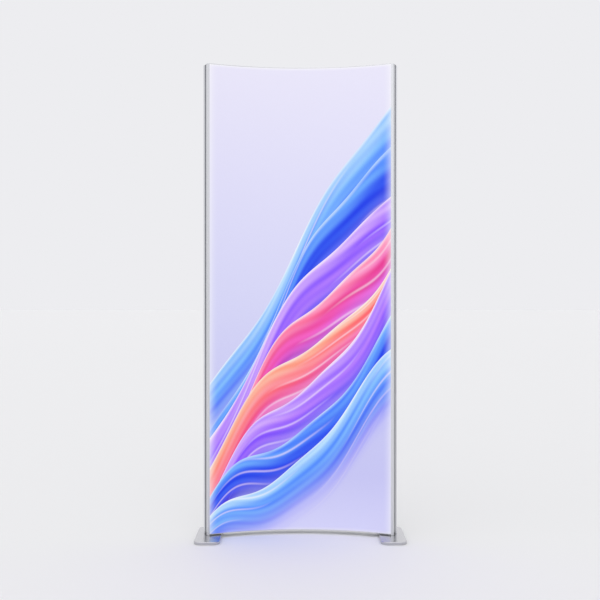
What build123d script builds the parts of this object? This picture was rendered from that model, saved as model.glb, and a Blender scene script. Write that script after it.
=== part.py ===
# Curved, free-standing fabric light box: an aluminium frame that bows away from the viewer, a lit
# fabric face and a plain rear fabric pushed into slots in the frame, light bars inside the top and
# bottom rails, and two flat foot plates that swivel under the uprights.
# Units are millimetres and degrees. +Z is up, +X is to the right of someone who looks at the lit
# face, and +Y points away from them. The origin is on the floor, midway between the foot pivots.
from build123d import *
import math
import os

# The frame as a whole
frame_height = 2000.0    # underside of the bottom rail to the top of the end caps
front_chord = 785.6      # straight across the lit face, between the two front corners
front_radius = 940.0     # of the lit face, which is hollow towards the viewer
frame_depth = 52.0       # front lip to rear lip

# The slots that hold the fabric, the same in uprights and rails
slot_width = 3.4
slot_depth = 15.0
fabric_seat = 1.2        # how far a slot's inner wall stands back, so that the fabric passes over it
web = 1.5                # walls round the slots and the middle chamber
side_wall = 1.8
lip_thickness = 2.0
edge_softening = 0.8     # radius on an extrusion's long outer corners

# Upright section
lip_width = 9.0          # the bare metal border beside the lit face
box_width = 29.0
side_groove_depth = 2.5
groove_land = 3.0        # from the middle chamber's end to the groove's edge
port_radius = 1.45       # core of the screw ports
port_wall = 1.65

# Rail section
rail_lip = 2.0
rail_box_height = 20.0

# Feet
plate_width = 108.0
plate_length = 268.0
plate_thickness = 12.0
plate_corner = 28.0
plate_bevel = 1.6
pad_radius = 10.0
pad_thickness = 3.0
pad_stand = 0.5          # how far a pad stands out of its plate
pad_inset = 24.0         # plate edge to pad centre
pad_play = 0.3
rail_gap = 4.5           # plate top to the underside of the bottom rail
washer_thickness = 0.8
washer_radius = 13.0
turning_gap = 0.1        # between faces that slide on each other
pin_play = 0.06          # radial, between the pivot bolt and the plate

# Pivot bolt
shoulder_radius = 5.0
pivot_head_radius = 8.0
pivot_head_height = 4.5
pivot_thread_radius = 4.0
pivot_thread_length = 30.0
counterbore_play = 1.0
counterbore_depth = 5.0
pivot_key = 5.0          # across the flats of the hexagon socket

# The small screw in the side groove that locks the pivot bolt's thread
lock_height = 4.0        # above the upright's foot
lock_radius = 1.95
lock_head_radius = 3.6
lock_head_height = 2.1
lock_key = 2.5

# End caps and their screws
cap_bevel = 0.7
cap_screw_head = 3.0
cap_screw_length = 14.0

# Corner brackets and their screws
fit_gap = 0.2            # between a bracket and the chamber that it slides into
bracket_leg = 78.0       # down the upright, from the outside of the rail
bracket_reach = 60.0     # along the rail, past the upright
rail_leg_margin = 1.5    # the rail leg is this much narrower each side, so that it clears the curve
bracket_pocket = 5.0
bracket_rib = 3.2
bracket_screw_first = 40.0
bracket_screw_pitch = 25.0
rail_screw_first = 18.0
rail_screw_pitch = 26.0
screw_radius = 2.45
screw_play = 0.05
screw_head_radius = 4.75
screw_head_height = 2.7
screw_length = 11.0
screw_key = 3.0

# Cross brace at half height
brace_size = 20.0
brace_wall = 1.5
brace_plate = 3.0
brace_plate_height = 64.0
brace_spigot = 26.0
brace_screw_spread = 23.0

# Fabrics and the silicone strips sewn round their edges
fabric_thickness = 0.7
fabric_recess = 0.2      # the fabric's face lies this far behind the lips
fabric_edge_gap = 0.1
strip_thickness = 3.0
strip_depth = 13.4
strip_gap = 0.2          # between a strip and the back of its fabric

# Light bars
board_length = 200.0
board_width = 14.0
board_thickness = 1.6
board_gap = 7.0
lens_inset = 30.0        # board end to the centre of the first lens
lenses_per_board = 6
lens_radius = 5.5
lens_flange = 1.0        # thickness of the rim that the dome stands on
lens_rim = 1.0           # width of that rim
emitter_size = 3.0
emitter_height = 0.7
emitter_pocket = 2.5
board_screw_inset = 16.0
board_screw_radius = 1.4
board_screw_head = 2.7
board_screw_head_height = 1.8
board_screw_length = 6.0
plug_length = 9.0
plug_width = 8.0
plug_height = 4.5
plug_inset = 1.5
jumper_radius = 1.3

# Power inlet, under the bottom rail below the last light bar's end plug, and the leads from it
inlet_radius = 5.0
inlet_flange_radius = 6.8
inlet_flange = 2.0
inlet_body = 8.5
inlet_bore = 2.75
inlet_bore_depth = 7.0
inlet_pin = 1.0
nut_thickness = 2.2
nut_across = 13.0
lead_radius = 1.4
lead_bend = 4.2
lead_long_bend = 18.0
lead_inset = 6.0         # from the middle chamber's inner wall
lead_stand = 6.0         # behind the rail's and the upright's box
lead_turn = 78.0         # from the top rail's outside to where the lead turns towards it
lead_straight = 24.0     # the straight end of a lead at its plug
lead_spacing = 7.2       # between the two leads
clip_count = 6
clip_length = 12.0
clip_width = 9.0
clip_cover = 2.0
clip_margin = 80.0       # from the ends of the lead's straight run to the outer clips
grommet_wall = 1.2
grommet_flange = 0.7
grommet_lip = 1.0
lead_play = 0.15

# Worked out from the sizes above
half_angle = math.degrees(math.asin(front_chord / 2 / front_radius))
sine = math.sin(math.radians(half_angle))
cosine = math.cos(math.radians(half_angle))
middle = frame_depth / 2
chamber_front = slot_depth + web
chamber_back = frame_depth - chamber_front
box_back = frame_depth - slot_depth
chamber_outer = side_groove_depth + side_wall
chamber_inner = box_width - side_wall
slot_inner = lip_width + slot_width
strip_of_upright = slot_inner + web      # width of the upright in front of and behind its box
pivot_inset = (chamber_outer + chamber_inner) / 2
axis_y = -((front_radius + middle) * cosine + pivot_inset * sine)
pivot_x = (front_radius + middle) * sine - pivot_inset * cosine
plate_top = pad_stand + plate_thickness
upright_foot = plate_top + turning_gap + washer_thickness
frame_bottom = plate_top + rail_gap
frame_top = frame_bottom + frame_height
frame_middle = (frame_bottom + frame_top) / 2
middle_radius = front_radius + middle
rail_chamber_floor = rail_box_height - side_wall

curve_axis = Axis((0, axis_y, 0), (0, 0, 1))
inward = Vector(cosine, sine, 0)     # along the left upright's section, towards the middle
backward = Vector(-sine, cosine, 0)
front_corner = Vector(-front_radius * sine, axis_y + front_radius * cosine, 0)


def at_left(across, depth, height):
    """The point that lies so far inward, backward and up from the left front corner."""
    return front_corner + inward * across + backward * depth + Vector(0, 0, height)


def area(across_from, across_to, depth_from, depth_to):
    """A rectangle between two opposite corners."""
    centre = Pos((across_from + across_to) / 2, (depth_from + depth_to) / 2)
    return centre * Rectangle(across_to - across_from, depth_to - depth_from)


def left_prism(section, low, high):
    """A section drawn in inward and backward distances, raised from one height to another."""
    base = Plane(origin=at_left(0, 0, low), x_dir=inward, z_dir=(0, 0, 1))
    return extrude(base * section, amount=high - low)


def bowed(section, angle_from, angle_to):
    """A section drawn in radius and height, turned about the frame's curve axis."""
    turn = math.radians(angle_to)
    start = Plane(
        origin=(0, axis_y, 0),
        x_dir=(math.sin(turn), math.cos(turn), 0),
        z_dir=(math.cos(turn), -math.sin(turn), 0),
    )
    return revolve(start * section, axis=curve_axis, revolution_arc=angle_to - angle_from)


def ring_area(depth_from, depth_to, low, high):
    """A rectangle for bowed(), its depths counted from the front lip."""
    return area(front_radius + depth_from, front_radius + depth_to, low, high)


def angle_at(across):
    """The angle, from the middle of the frame, of a point so far along the curve from an end."""
    return half_angle - math.degrees(across / middle_radius)


def other_side(shape):
    return mirror(shape, about=Plane.YZ)


def upside_down(shape):
    return mirror(shape, about=Plane.XY.offset(frame_middle))


def group(solids):
    return Compound([s for shape in solids for s in shape.solids()])


def cap_screw(radius, length, head_radius, head_height, key):
    """A button-head screw with its shank down -Z and the underside of its head at z = 0."""
    head = Cylinder(head_radius, head_height, align=(Align.CENTER, Align.CENTER, Align.MIN))
    head = chamfer(head.edges().sort_by(Axis.Z)[-1], head_height * 0.4)
    shank = Cylinder(radius, length, align=(Align.CENTER, Align.CENTER, Align.MAX))
    socket = extrude(RegularPolygon(key / 2, 6, major_radius=False), amount=head_height)
    return head + shank - Pos(0, 0, head_height * 0.4) * socket


def through_hole(origin, direction, radius, length):
    """A cylinder centred on a point, for cutting holes."""
    return Plane(origin=origin, z_dir=direction) * Cylinder(radius, length)


def upright_outline():
    return area(0, strip_of_upright, 0, frame_depth) + area(0, box_width, slot_depth, box_back)


def upright_section():
    """The extrusion: two fabric slots, a middle chamber, and a groove down the outer side."""
    long_corner = lip_thickness / 2
    outline = upright_outline()
    corners = [v for v in outline.vertices() if v.X < long_corner]
    section = fillet(corners, edge_softening)
    section -= area(0, side_groove_depth, chamber_front + groove_land - web,
                    chamber_back - groove_land + web)
    section -= area(chamber_outer, chamber_inner, chamber_front, chamber_back)
    port_ring = Circle(port_radius + port_wall)
    port_core = Circle(port_radius)
    for flip in (False, True):
        def place(part):
            return Pos(0, middle) * mirror(Pos(0, -middle) * part, Plane.XZ) if flip else part
        side_room = area(side_wall, lip_width - web, lip_thickness, slot_depth)
        port_at = Pos((side_wall + lip_width - web) / 2, (lip_thickness + slot_depth) / 2)
        section -= place(side_room - port_at * port_ring)
        section -= place(port_at * port_core)
        section -= place(area(lip_width, slot_inner, 0, slot_depth))
        section -= place(area(lip_width, strip_of_upright, 0, fabric_seat))
    return section


def port_points():
    """Inward and backward distances of the two screw ports."""
    across = (side_wall + lip_width - web) / 2
    depth = (lip_thickness + slot_depth) / 2
    return [(across, depth), (across, frame_depth - depth)]


def bracket_screw_heights():
    """Heights of the screws that hold the upper corner bracket in its upright."""
    return [frame_top - bracket_screw_first - bracket_screw_pitch * n for n in range(2)]


def rail_screw_angles():
    starts = [box_width + rail_screw_first + rail_screw_pitch * n for n in range(2)]
    return [angle_at(start) for start in starts]


def left_upright():
    upright = left_prism(upright_section(), upright_foot, frame_top - rail_lip)
    window = area(chamber_inner - web, box_width + web, chamber_front, chamber_back)
    upright -= left_prism(window, frame_top - rail_chamber_floor, frame_top)
    upright -= left_prism(window, upright_foot - web, frame_bottom + rail_chamber_floor)
    wall_hole = side_wall * 4
    holes = [through_hole(lock_point(), inward, lock_radius + screw_play, wall_hole)]
    for height in bracket_screw_heights():
        for place in (height, frame_bottom + frame_top - height):
            holes.append(through_hole(at_left(box_width, middle, place), inward,
                                      screw_radius + screw_play, wall_hole))
    for side in (-1, 1):
        place = at_left(box_width, middle, frame_middle + side * brace_screw_spread)
        holes.append(through_hole(place, inward, screw_radius + screw_play, wall_hole))
    return upright - holes


def lock_point():
    """Where the lock screw's head bears, on the floor of the left upright's side groove."""
    return at_left(side_groove_depth, middle, upright_foot + lock_height)


def left_lock_screw():
    length = pivot_inset - pivot_thread_radius - side_groove_depth - fit_gap
    screw = cap_screw(lock_radius, length, lock_head_radius, lock_head_height, lock_key)
    return Plane(origin=lock_point(), z_dir=-inward) * screw


def rail_section():
    """The bowed extrusion of the top rail, drawn in radius and height."""
    top = frame_top
    section = ring_area(0, frame_depth, top - rail_lip - slot_width - web, top)
    section += ring_area(slot_depth, box_back, top - rail_box_height, top)
    section -= ring_area(chamber_front, chamber_back, top - rail_chamber_floor, top - rail_lip)
    for start, end in ((0, slot_depth), (box_back, frame_depth)):
        section -= ring_area(start, end, top - rail_lip - slot_width, top - rail_lip)
    for start, end in ((0, fabric_seat), (frame_depth - fabric_seat, frame_depth)):
        section -= ring_area(start, end, top - rail_lip - slot_width - web, top - rail_lip)
    return section


def top_rail():
    rail = bowed(rail_section(), -half_angle, half_angle)
    beyond = frame_depth
    outside = area(-beyond, strip_of_upright, -beyond, frame_depth + beyond)
    outside += area(-beyond, box_width, slot_depth, box_back)
    left_end = left_prism(outside, frame_top - 2 * rail_box_height, frame_top + rail_lip)
    rail -= left_end
    rail -= other_side(left_end)
    wall_hole = side_wall * 4
    holes = []
    for angle in rail_screw_angles():
        for side in (-1, 1):
            holes.append(through_hole(on_curve(side * angle, middle_radius, rail_face()),
                                      (0, 0, 1), screw_radius + screw_play, wall_hole))
    for plane in board_planes():
        for side in (-1, 1):
            at = plane * Pos(side * (board_length / 2 - board_screw_inset), 0, 0)
            holes.append(at * Cylinder(board_screw_radius + screw_play, wall_hole))
    return rail - holes


def bottom_rail():
    """The top rail turned over, with the inlet's hole and the holes for its two leads."""
    inlet_hole = inlet_plane() * Cylinder(inlet_radius + fit_gap, side_wall * 4)
    lead_holes = [plane * Cylinder(lead_radius + lead_play + grommet_wall, web * 3)
                  for plane in grommet_planes()]
    return upside_down(top_rail()) - inlet_hole - lead_holes


def on_curve(angle, radius, height):
    turn = math.radians(angle)
    return Vector(radius * math.sin(turn), axis_y + radius * math.cos(turn), height)


def rail_face():
    """Height of the top rail's inner face, which the light bars are screwed to."""
    return frame_top - rail_box_height


def left_cap():
    """The plate that closes an upright's top end."""
    cap = left_prism(upright_outline(), frame_top - rail_lip, frame_top)
    upper = cap.faces().sort_by(Axis.Z)[-1].edges()
    outer = [e for e in upper if e.center().X < at_left(strip_of_upright / 2, 0, 0).X
             or abs((e.center() - front_corner).dot(inward)) < web]
    cap = chamfer(outer, cap_bevel) if outer else cap
    for across, depth in port_points():
        place = Plane(origin=at_left(across, depth, frame_top), z_dir=(0, 0, 1))
        cap -= place * Cylinder(port_radius + screw_play, 4 * rail_lip)
        cap -= place * Pos(0, 0, -cap_head_depth() / 2) * Cone(
            port_radius, cap_screw_head + screw_play, cap_head_depth() + 2 * screw_play)
    return cap


def cap_head_depth():
    return cap_screw_head - port_radius


def left_cap_screws():
    screws = []
    for across, depth in port_points():
        place = Plane(origin=at_left(across, depth, frame_top), z_dir=(0, 0, 1))
        head = Cone(port_radius - screw_play, cap_screw_head - screw_play, cap_head_depth(),
                    align=(Align.CENTER, Align.CENTER, Align.MAX))
        shank = Cylinder(port_radius - screw_play, cap_screw_length,
                         align=(Align.CENTER, Align.CENTER, Align.MAX))
        cross = Box(cap_screw_head, port_radius / 2, cap_head_depth())
        cross += Box(port_radius / 2, cap_screw_head, cap_head_depth())
        screws.append(place * (head + shank - cross))
    return group(screws)


def corner_bracket(leg_end, pivot_hole_length):
    """A cast corner for the top left of the frame. One leg fills the upright's middle chamber and
    ends so far below the rail's outside; the other follows the curve into the rail."""
    upper = frame_top - leg_end
    leg = left_prism(
        area(chamber_outer + fit_gap, chamber_inner - fit_gap,
             chamber_front + fit_gap, chamber_back - fit_gap),
        frame_top - bracket_leg, upper)
    pocket_low = frame_top - bracket_leg + bracket_rib
    pocket_high = frame_top - rail_box_height - bracket_rib
    cells = 3
    cell = (pocket_high - pocket_low - bracket_rib * (cells - 1)) / cells
    for n in range(cells):
        low = pocket_low + n * (cell + bracket_rib)
        leg -= left_prism(
            area(0, chamber_outer + fit_gap + bracket_pocket,
                 chamber_front + fit_gap + bracket_rib, chamber_back - fit_gap - bracket_rib),
            low, low + cell)
    rail_leg = bowed(
        ring_area(chamber_front + rail_leg_margin, chamber_back - rail_leg_margin,
                  frame_top - rail_chamber_floor + fit_gap, frame_top - rail_lip - fit_gap),
        -angle_at(pivot_inset), -angle_at(box_width + bracket_reach))
    bracket = leg + rail_leg
    for height in bracket_screw_heights():
        tip = at_left(chamber_inner, middle, height)
        bracket -= through_hole(tip, inward, screw_radius + screw_play, 2 * screw_length)
    for angle in rail_screw_angles():
        bracket -= through_hole(on_curve(-angle, middle_radius, rail_face()), (0, 0, 1),
                                screw_radius + screw_play, 4 * rail_box_height)
    if pivot_hole_length:
        mouth = at_left(pivot_inset, middle, upper)
        bracket -= through_hole(mouth, (0, 0, 1), pivot_thread_radius, 2 * pivot_hole_length)
    return bracket


def upper_left_bracket():
    return corner_bracket(rail_lip + fit_gap, 0)


def lower_left_bracket():
    bracket = upside_down(corner_bracket(upright_foot - frame_bottom, pivot_thread_length + web))
    return bracket - through_hole(lock_point(), inward, lock_radius + screw_play, 2 * pivot_inset)


def upper_left_screws():
    screw = cap_screw(screw_radius, screw_length, screw_head_radius, screw_head_height, screw_key)
    screws = []
    for height in bracket_screw_heights():
        place = Plane(origin=at_left(box_width, middle, height), z_dir=inward)
        screws.append(place * screw)
    for angle in rail_screw_angles():
        place = Plane(origin=on_curve(-angle, middle_radius, rail_face()), z_dir=(0, 0, -1))
        screws.append(place * screw)
    return group(screws)


def brace_outline(shrink):
    half = brace_size / 2 - shrink
    return ring_area(middle - half, middle + half, frame_middle - half, frame_middle + half)


def cross_brace():
    """A bowed square tube that keeps the uprights apart against the pull of the fabric."""
    brace = bowed(brace_outline(0) - brace_outline(brace_wall), -half_angle, half_angle)
    end = left_prism(area(-frame_depth, box_width + brace_plate, -frame_depth, 2 * frame_depth),
                     frame_middle - brace_size, frame_middle + brace_size)
    brace -= end
    return brace - other_side(end)


def left_brace_plate():
    """The plate that carries one end of the brace, with the spigot that the tube slides over."""
    half_depth = middle - slot_depth
    plate = left_prism(area(box_width, box_width + brace_plate, middle - half_depth,
                            middle + half_depth),
                       frame_middle - brace_plate_height / 2, frame_middle + brace_plate_height / 2)
    spigot = bowed(brace_outline(brace_wall + fit_gap), -angle_at(box_width + brace_plate / 2),
                   -angle_at(box_width + brace_plate + brace_spigot))
    plate += spigot
    for side in (-1, 1):
        place = at_left(box_width, middle, frame_middle + side * brace_screw_spread)
        plate -= through_hole(place, inward, screw_radius + screw_play, 4 * brace_plate)
    return plate


def left_brace_screws():
    screw = cap_screw(screw_radius, screw_length, screw_head_radius, screw_head_height, screw_key)
    screws = []
    for side in (-1, 1):
        place = at_left(box_width + brace_plate, middle, frame_middle + side * brace_screw_spread)
        screws.append(Plane(origin=place, z_dir=inward) * screw)
    return group(screws)


def fabric(front):
    """A fabric from slot to slot: a thin bowed sheet that lies just inside the lips."""
    near = fabric_recess if front else frame_depth - fabric_recess - fabric_thickness
    edge = rail_lip + fabric_edge_gap
    sheet = bowed(ring_area(near, near + fabric_thickness, frame_bottom + edge, frame_top - edge),
                  -half_angle, half_angle)
    side = left_prism(area(-frame_depth, lip_width + fabric_edge_gap, -frame_depth,
                           2 * frame_depth), 0, 2 * frame_top)
    sheet -= side
    return sheet - other_side(side)


def edge_strip(front):
    """The silicone strip sewn round a fabric: two straight runs and two bowed ones."""
    inner = fabric_recess + fabric_thickness + strip_gap
    near = inner if front else frame_depth - inner - strip_depth
    play = (slot_width - strip_thickness) / 2
    rail_run = bowed(
        ring_area(near, near + strip_depth, frame_top - rail_lip - play - strip_thickness,
                  frame_top - rail_lip - play),
        -angle_at(strip_of_upright + strip_thickness), angle_at(strip_of_upright + strip_thickness))
    corner_cut = rail_lip + slot_width
    upright_run = left_prism(
        area(lip_width + play, lip_width + play + strip_thickness, near, near + strip_depth),
        frame_bottom + corner_cut, frame_top - corner_cut)
    return group([rail_run, upside_down(rail_run), upright_run, other_side(upright_run)])


def board_planes():
    """One plane for each light bar of the top rail: X along the bar, Z away from the rail."""
    pitch = math.degrees((board_length + board_gap) / middle_radius)
    free_angle = 2 * angle_at(box_width + bracket_reach)
    count = max(1, int(free_angle // pitch))
    sag = board_length ** 2 / 8 / middle_radius
    planes = []
    for n in range(count):
        angle = (n - (count - 1) / 2) * pitch
        turn = math.radians(angle)
        planes.append(Plane(
            origin=on_curve(angle, middle_radius - sag / 2, rail_face()),
            x_dir=(math.cos(turn), -math.sin(turn), 0),
            z_dir=(0, 0, -1),
        ))
    return planes


def light_boards():
    board = Box(board_length, board_width, board_thickness,
                align=(Align.CENTER, Align.CENTER, Align.MIN))
    board = fillet(board.edges().filter_by(Axis.Z), board_width / 8)
    for side in (-1, 1):
        board -= Pos(side * (board_length / 2 - board_screw_inset), 0, 0) * Cylinder(
            board_screw_radius + screw_play, 4 * board_thickness)
    return group([plane * board for plane in board_planes()])


def on_each_lens(shape):
    """Copies of a shape at every lens of every light bar of the top rail."""
    first = lens_inset - board_length / 2
    pitch = -2 * first / (lenses_per_board - 1)
    copies = []
    for plane in board_planes():
        for n in range(lenses_per_board):
            copies.append(plane * Pos(first + n * pitch, 0, board_thickness) * shape)
    return group(copies)


def lens():
    """A domed lens on a thin rim, hollowed underneath for the emitter."""
    rim = Cylinder(lens_radius + lens_rim, lens_flange,
                   align=(Align.CENTER, Align.CENTER, Align.MIN))
    dome = Pos(0, 0, lens_flange) * Sphere(
        lens_radius, arc_size1=0, align=(Align.CENTER, Align.CENTER, Align.MIN))
    return rim + dome - Cylinder(emitter_pocket, 2 * (emitter_height + screw_play))


def emitter():
    return Box(emitter_size, emitter_size, emitter_height,
               align=(Align.CENTER, Align.CENTER, Align.MIN))


def board_screws():
    screw = cap_screw(board_screw_radius, board_screw_length, board_screw_head,
                      board_screw_head_height, board_screw_radius)
    screws = []
    for plane in board_planes():
        for side in (-1, 1):
            across = side * (board_length / 2 - board_screw_inset)
            screws.append(plane * Pos(across, 0, board_thickness) * screw)
    return group(screws)


def plug_point(plane, side, outward):
    """A point on a light bar's lead line: so far outside its end plug's outer face."""
    across = side * (board_length / 2 - plug_inset + outward)
    return (plane * Pos(across, 0, board_thickness + plug_height / 2)).position


def board_plugs():
    plug = Box(plug_length, plug_width, plug_height, align=(Align.CENTER, Align.CENTER, Align.MIN))
    plug = chamfer(plug.edges().filter_by(Axis.X).sort_by(Axis.Z)[-2:], plug_height / 5)
    plugs = []
    for plane in board_planes():
        for side in (-1, 1):
            across = side * (board_length / 2 - plug_inset - plug_length / 2)
            plugs.append(plane * Pos(across, 0, board_thickness) * plug)
    return group(plugs)


def tube(points, radii, radius):
    """A round lead along straight runs joined by tangent arcs."""
    path = FilletPolyline(*points, radius=radii) if len(points) > 2 else Line(*points)
    start = Plane(origin=path @ 0, z_dir=path % 0)
    return sweep(start * Circle(radius), path=path)


def board_jumpers():
    """The short leads from each light bar to the next."""
    planes = board_planes()
    jumpers = []
    for here, there in zip(planes, planes[1:]):
        ends = [plug_point(here, 1, fit_gap), plug_point(there, -1, fit_gap)]
        jumpers.append(tube(ends, None, jumper_radius))
    return group(jumpers)


def lead_across():
    """How far inward the leads run, measured as the upright's section is."""
    return chamber_inner - lead_inset


def last_plug_angle():
    """The angle, to within a hair, of the end plug nearest the right upright."""
    from_bar_middle = (board_length - plug_length) / 2 - plug_inset
    pitch = math.degrees((board_length + board_gap) / middle_radius)
    return (len(board_planes()) - 1) / 2 * pitch + math.degrees(from_bar_middle / middle_radius)


def inlet_plane():
    """On the bottom rail's underside, its Z pointing down and its X along the rail."""
    turn = math.radians(last_plug_angle())
    return Plane(origin=on_curve(last_plug_angle(), middle_radius, frame_bottom),
                 x_dir=(math.cos(turn), -math.sin(turn), 0), z_dir=(0, 0, -1))


def lead_point(along, back, above):
    """A point so far towards the right end, back and up from the inlet's place on the rail."""
    return (inlet_plane() * Pos(along, -back, -above)).position


def lead_height():
    """How high the leads lie, above the rail's underside, where they leave its chamber."""
    return inlet_body + lead_bend + web


def grommet_planes():
    """The places where the two leads pass the back wall of the bottom rail's box."""
    wall = slot_depth + box_back
    depth = box_back - web / 2 - middle
    direction = lead_point(0, 1, 0) - lead_point(0, 0, 0)
    return [Plane(origin=lead_point(side * lead_spacing / 2, depth, lead_height()),
                  z_dir=direction) for side in (-1, 1)]


def lower_supply_lead():
    """The short lead out of the rail's back and round to the plug above."""
    plug_height_up = rail_box_height + board_thickness + plug_height / 2
    behind = box_back + lead_stand - middle
    plug_middle = (board_length - plug_length) / 2 - plug_inset
    plug_back = (board_planes()[-1] * Pos(plug_middle - lead_spacing / 2,
                                          -plug_width / 2 - fit_gap, 0)).position
    points = [
        lead_point(-lead_spacing / 2, 0, inlet_body),
        lead_point(-lead_spacing / 2, 0, lead_height()),
        lead_point(-lead_spacing / 2, behind, lead_height()),
        lead_point(-lead_spacing / 2, behind, plug_height_up),
        Vector(plug_back.X, plug_back.Y, frame_bottom + plug_height_up),
    ]
    return tube(points, [lead_bend] * 3, lead_radius)


def upper_supply_lead():
    """The long lead out of the rail's back, along it to the right upright, up behind the upright's
    box and across to the end plug of the top rail's last light bar."""
    behind = box_back + lead_stand
    across = lead_across()
    bar = board_planes()[-1]
    points = [
        lead_point(lead_spacing / 2, 0, inlet_body),
        lead_point(lead_spacing / 2, 0, lead_height()),
        lead_point(lead_spacing / 2, behind - middle, lead_height()),
        at_right(across, behind, frame_bottom + lead_height()),
        at_right(across, behind, frame_top - lead_turn),
        plug_point(bar, 1, lead_straight),
        plug_point(bar, 1, fit_gap),
    ]
    radii = [lead_bend, lead_bend, lead_long_bend, lead_long_bend, lead_long_bend]
    return tube(points, radii, lead_radius)


def at_right(across, depth, height):
    point = at_left(across, depth, height)
    return Vector(-point.X, point.Y, point.Z)


def lead_clips():
    """Saddles that hold the upper lead to the back of the right upright's box."""
    low = frame_bottom + lead_height() + clip_margin
    high = frame_top - lead_turn - clip_margin
    half_width = clip_width / 2
    across = lead_across()
    clips = []
    for n in range(clip_count):
        centre = low + (high - low) * n / max(1, clip_count - 1)
        clip = left_prism(area(across - half_width, across + half_width, box_back,
                               box_back + lead_stand + lead_radius + clip_cover),
                          centre - clip_length / 2, centre + clip_length / 2)
        clip -= through_hole(at_left(across, box_back + lead_stand, centre), (0, 0, 1),
                             lead_radius + lead_play, 2 * clip_length)
        clips.append(other_side(clip))
    return group(clips)


def lead_grommets():
    """Rubber rings in the two holes by which the leads leave the bottom rail."""
    sleeve = lead_radius + lead_play + grommet_wall - screw_play
    flange = sleeve + grommet_flange
    span = web + 2 * screw_play
    grommets = []
    for place in grommet_planes():
        ring = Cylinder(sleeve, span)
        for side in (-1, 1):
            ring += Pos(0, 0, side * (span + grommet_lip) / 2) * Cylinder(flange, grommet_lip)
        ring -= Cylinder(lead_radius + lead_play, 4 * (web + grommet_lip))
        grommets.append(place * ring)
    return group(grommets)


def power_inlet():
    """A round low-voltage socket in the bottom rail's underside."""
    flange = Cylinder(inlet_flange_radius, inlet_flange,
                      align=(Align.CENTER, Align.CENTER, Align.MIN))
    flange = chamfer(flange.edges().sort_by(Axis.Z)[-1], inlet_flange / 4)
    body = Cylinder(inlet_radius, inlet_body, align=(Align.CENTER, Align.CENTER, Align.MAX))
    bore = Pos(0, 0, inlet_flange) * Cylinder(inlet_bore, inlet_bore_depth + inlet_flange,
                                              align=(Align.CENTER, Align.CENTER, Align.MAX))
    pin = Pos(0, 0, -inlet_bore_depth) * Cylinder(
        inlet_pin, inlet_bore_depth, align=(Align.CENTER, Align.CENTER, Align.MIN))
    return inlet_plane() * (flange + body - bore + pin)


def inlet_nut():
    nut = extrude(RegularPolygon(nut_across / 2, 6, major_radius=False), amount=-nut_thickness)
    nut -= Cylinder(inlet_radius + screw_play, 4 * nut_thickness)
    return inlet_plane() * Pos(0, 0, -rail_lip) * nut


def foot_plate():
    """A flat plate with rounded corners, a bevelled upper edge, a counterbored pivot hole and
    shallow seats for its pads. It is centred on its pivot."""
    plate = extrude(RectangleRounded(plate_width, plate_length, plate_corner),
                    amount=plate_thickness)
    plate = chamfer(plate.edges().group_by(Axis.Z)[-1], plate_bevel)
    plate = chamfer(plate.edges().group_by(Axis.Z)[0], plate_bevel / 3)
    plate -= Cylinder(shoulder_radius + pin_play, 4 * plate_thickness)
    plate -= Cylinder(pivot_head_radius + counterbore_play, 2 * counterbore_depth)
    for across, along in pad_centres():
        plate -= Pos(across, along, 0) * Cylinder(pad_radius + pad_play,
                                                  2 * (pad_thickness - pad_stand))
    return Pos(-pivot_x, 0, pad_stand) * plate


def pad_centres():
    across = plate_width / 2 - pad_inset
    along = plate_length / 2 - pad_inset
    return [(x, y) for x in (-across, across) for y in (-along, along)]


def foot_pads():
    pad = Cylinder(pad_radius, pad_thickness, align=(Align.CENTER, Align.CENTER, Align.MIN))
    pad = chamfer(pad.edges().sort_by(Axis.Z)[0], pad_stand / 3)
    return group([Pos(x - pivot_x, y, 0) * pad for x, y in pad_centres()])


def pivot_washer():
    ring = Cylinder(washer_radius, washer_thickness,
                    align=(Align.CENTER, Align.CENTER, Align.MAX))
    ring -= Cylinder(shoulder_radius + fit_gap, 4 * washer_thickness)
    return Pos(-pivot_x, 0, upright_foot) * ring


def pivot_bolt():
    """A shoulder bolt, screwed up into the lower corner bracket. The plate turns on its shoulder."""
    head_top = pad_stand + counterbore_depth - turning_gap
    head = Cylinder(pivot_head_radius, pivot_head_height,
                    align=(Align.CENTER, Align.CENTER, Align.MAX))
    head = chamfer(head.edges().sort_by(Axis.Z)[0], pivot_head_height / 8)
    socket = extrude(RegularPolygon(pivot_key / 2, 6, major_radius=False),
                     amount=pivot_head_height * 0.6)
    head -= Pos(0, 0, -pivot_head_height) * socket
    shoulder = Cylinder(shoulder_radius, upright_foot - head_top,
                        align=(Align.CENTER, Align.CENTER, Align.MIN))
    thread = Pos(0, 0, upright_foot - head_top) * Cylinder(
        pivot_thread_radius - screw_play, pivot_thread_length,
        align=(Align.CENTER, Align.CENTER, Align.MIN))
    return Pos(-pivot_x, 0, head_top) * (head + shoulder + thread)


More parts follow.
